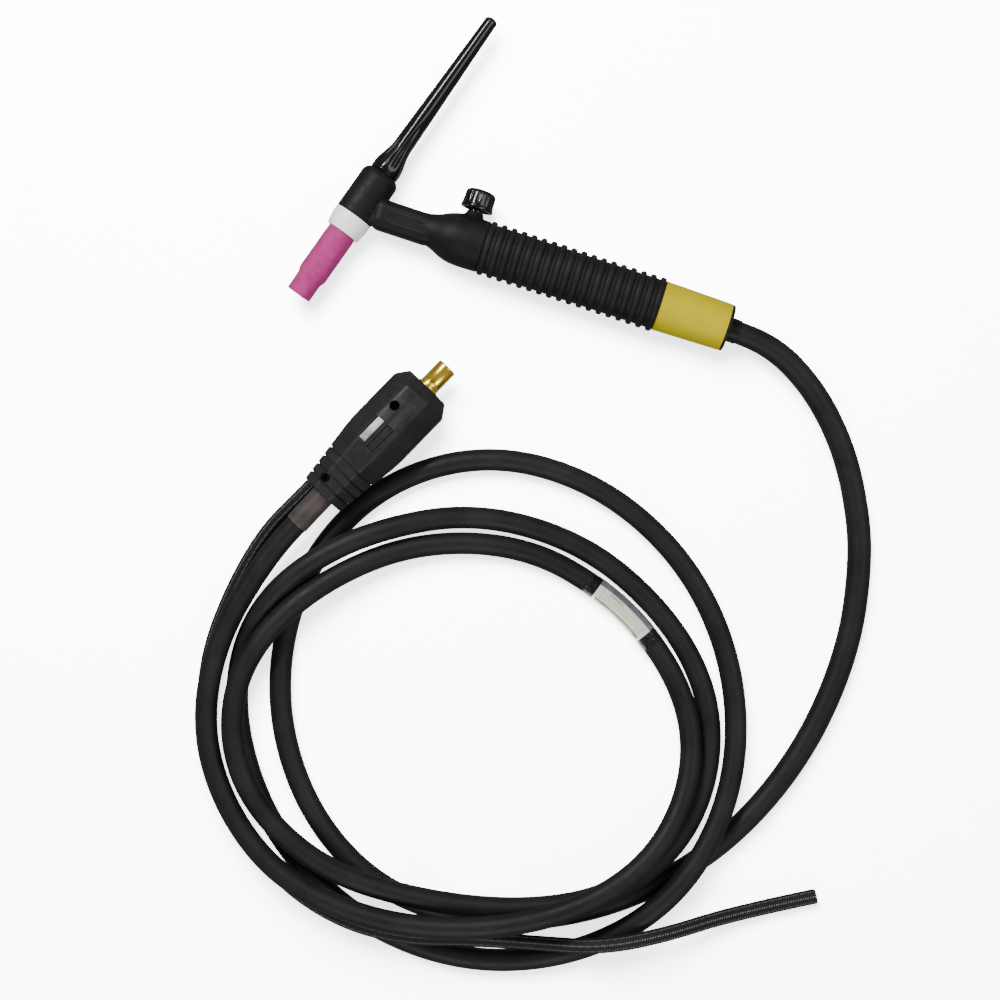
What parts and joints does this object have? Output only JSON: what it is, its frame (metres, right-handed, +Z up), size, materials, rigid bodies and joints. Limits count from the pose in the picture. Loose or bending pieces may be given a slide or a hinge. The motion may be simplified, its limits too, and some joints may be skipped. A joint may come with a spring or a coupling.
{
  "type": "tig torch",
  "caption": "Air-cooled TIG welding torch with hand gas valve, corrugated grip, long back cap, power cable, cable plug and gas hose.",
  "frame": {"origin": "bottom centre of the torch itself, without its cable, hose and plug, where it lies on a flat surface", "axes": "+X along the handle towards the cable, +Y towards the back cap and valve knob, +Z up from the surface"},
  "size_m": [0.4392, 0.5765, 0.0431],
  "materials": {
    "moulded_rubber": "satin moulded rubber",
    "grip_rubber": "satin moulded rubber",
    "gloss_black": "polished phenolic",
    "yellow_plastic": "bright moulded plastic",
    "black_plastic": "satin",
    "pink_ceramic": "matt fired alumina",
    "white_ptfe": "satin",
    "brass": "turned",
    "copper": "turned copper",
    "tungsten": "ground",
    "steel": "blackened",
    "seal_rubber": "matt",
    "cable_rubber": "satin",
    "hose_braid": "braided cover with light flecks",
    "label_print": "printed",
    "clear_sleeve": "clear heat shrink",
    "brown_shrink": "satin heat shrink",
    "plug_rubber": "hard rubber",
    "window_grey": "clear over a plain grey print",
    "window_black": "polished"
  },
  "bodies": {
    "torch": {"torch_insulation": "moulded_rubber", "grip_handle": "grip_rubber", "collar_ring": "yellow_plastic", "handle_end_cap": "black_plastic", "head_core": "brass", "power_tube": "copper", "collet_body": "copper", "collet": "copper", "valve_block": "brass", "valve_gland_nut": "brass", "valve_stem_oring": "seal_rubber", "rear_tube": "copper", "cable_nut": "brass", "hose_tail": "brass", "cable_ferrule": "brass", "cable_exit_sleeve": "black_plastic", "power_cable": "cable_rubber", "cable_label": "label_print", "label_sleeve": "clear_sleeve", "plug_shrink_sleeve": "brown_shrink", "gas_hose": "hose_braid", "plug_upper_shell": "plug_rubber", "plug_lower_shell": "plug_rubber", "plug_window_bright": "window_grey", "plug_window_dark": "window_black", "plug_pin": "brass", "plug_conductor": "copper", "plug_clamp_screws": "steel", "plug_set_screws": "steel", "plug_shell_screws": "steel", "plug_gas_barb": "brass", "hose_ferrule": "brass"},
    "nozzle_carrier": {"heat_shield": "white_ptfe"},
    "nozzle": {"gas_nozzle": "pink_ceramic"},
    "cap_carrier": {"back_cap_oring": "seal_rubber"},
    "cap": {"back_cap": "gloss_black"},
    "stem": {"valve_stem": "brass"},
    "knob": {"valve_knob": "gloss_black"},
    "electrode_rod": {"electrode": "tungsten"}
  },
  "joints": [
    {"name": "nozzle_rise", "type": "slide", "parent": "torch", "child": "nozzle_carrier", "axis": [-0.2924, -0.9563, 0], "range_m": [0, 0.0045]},
    {"name": "nozzle_turn", "type": "hinge", "parent": "nozzle_carrier", "child": "nozzle", "pos_m": [-0.1074, -0.036, 0.0175], "axis": [-0.2924, -0.9563, 0], "range_deg": [0, 1080]},
    {"name": "cap_rise", "type": "slide", "parent": "torch", "child": "cap_carrier", "axis": [0.2924, 0.9563, 0], "range_m": [0, 0.005]},
    {"name": "cap_turn", "type": "hinge", "parent": "cap_carrier", "child": "cap", "pos_m": [-0.1074, -0.036, 0.0175], "axis": [0.2924, 0.9563, 0], "range_deg": [0, 1800]},
    {"name": "valve_rise", "type": "slide", "parent": "torch", "child": "stem", "axis": [0, 1, 0], "range_m": [0, 0.0025]},
    {"name": "valve_turn", "type": "hinge", "parent": "stem", "child": "knob", "pos_m": [-0.0377, -0.036, 0.0175], "axis": [0, 1, 0], "range_deg": [0, 900]},
    {"name": "electrode_slide", "type": "slide", "parent": "torch", "child": "electrode_rod", "axis": [-0.2924, -0.9563, 0], "range_m": [-0.005, 0.012]}
  ],
  "couplings": [
    {"joint": "nozzle_rise", "follows": "nozzle_turn", "m_per_rad": 0.00023873},
    {"joint": "cap_rise", "follows": "cap_turn", "m_per_rad": 0.00015915},
    {"joint": "valve_rise", "follows": "valve_turn", "m_per_rad": 0.00015915}
  ]
}
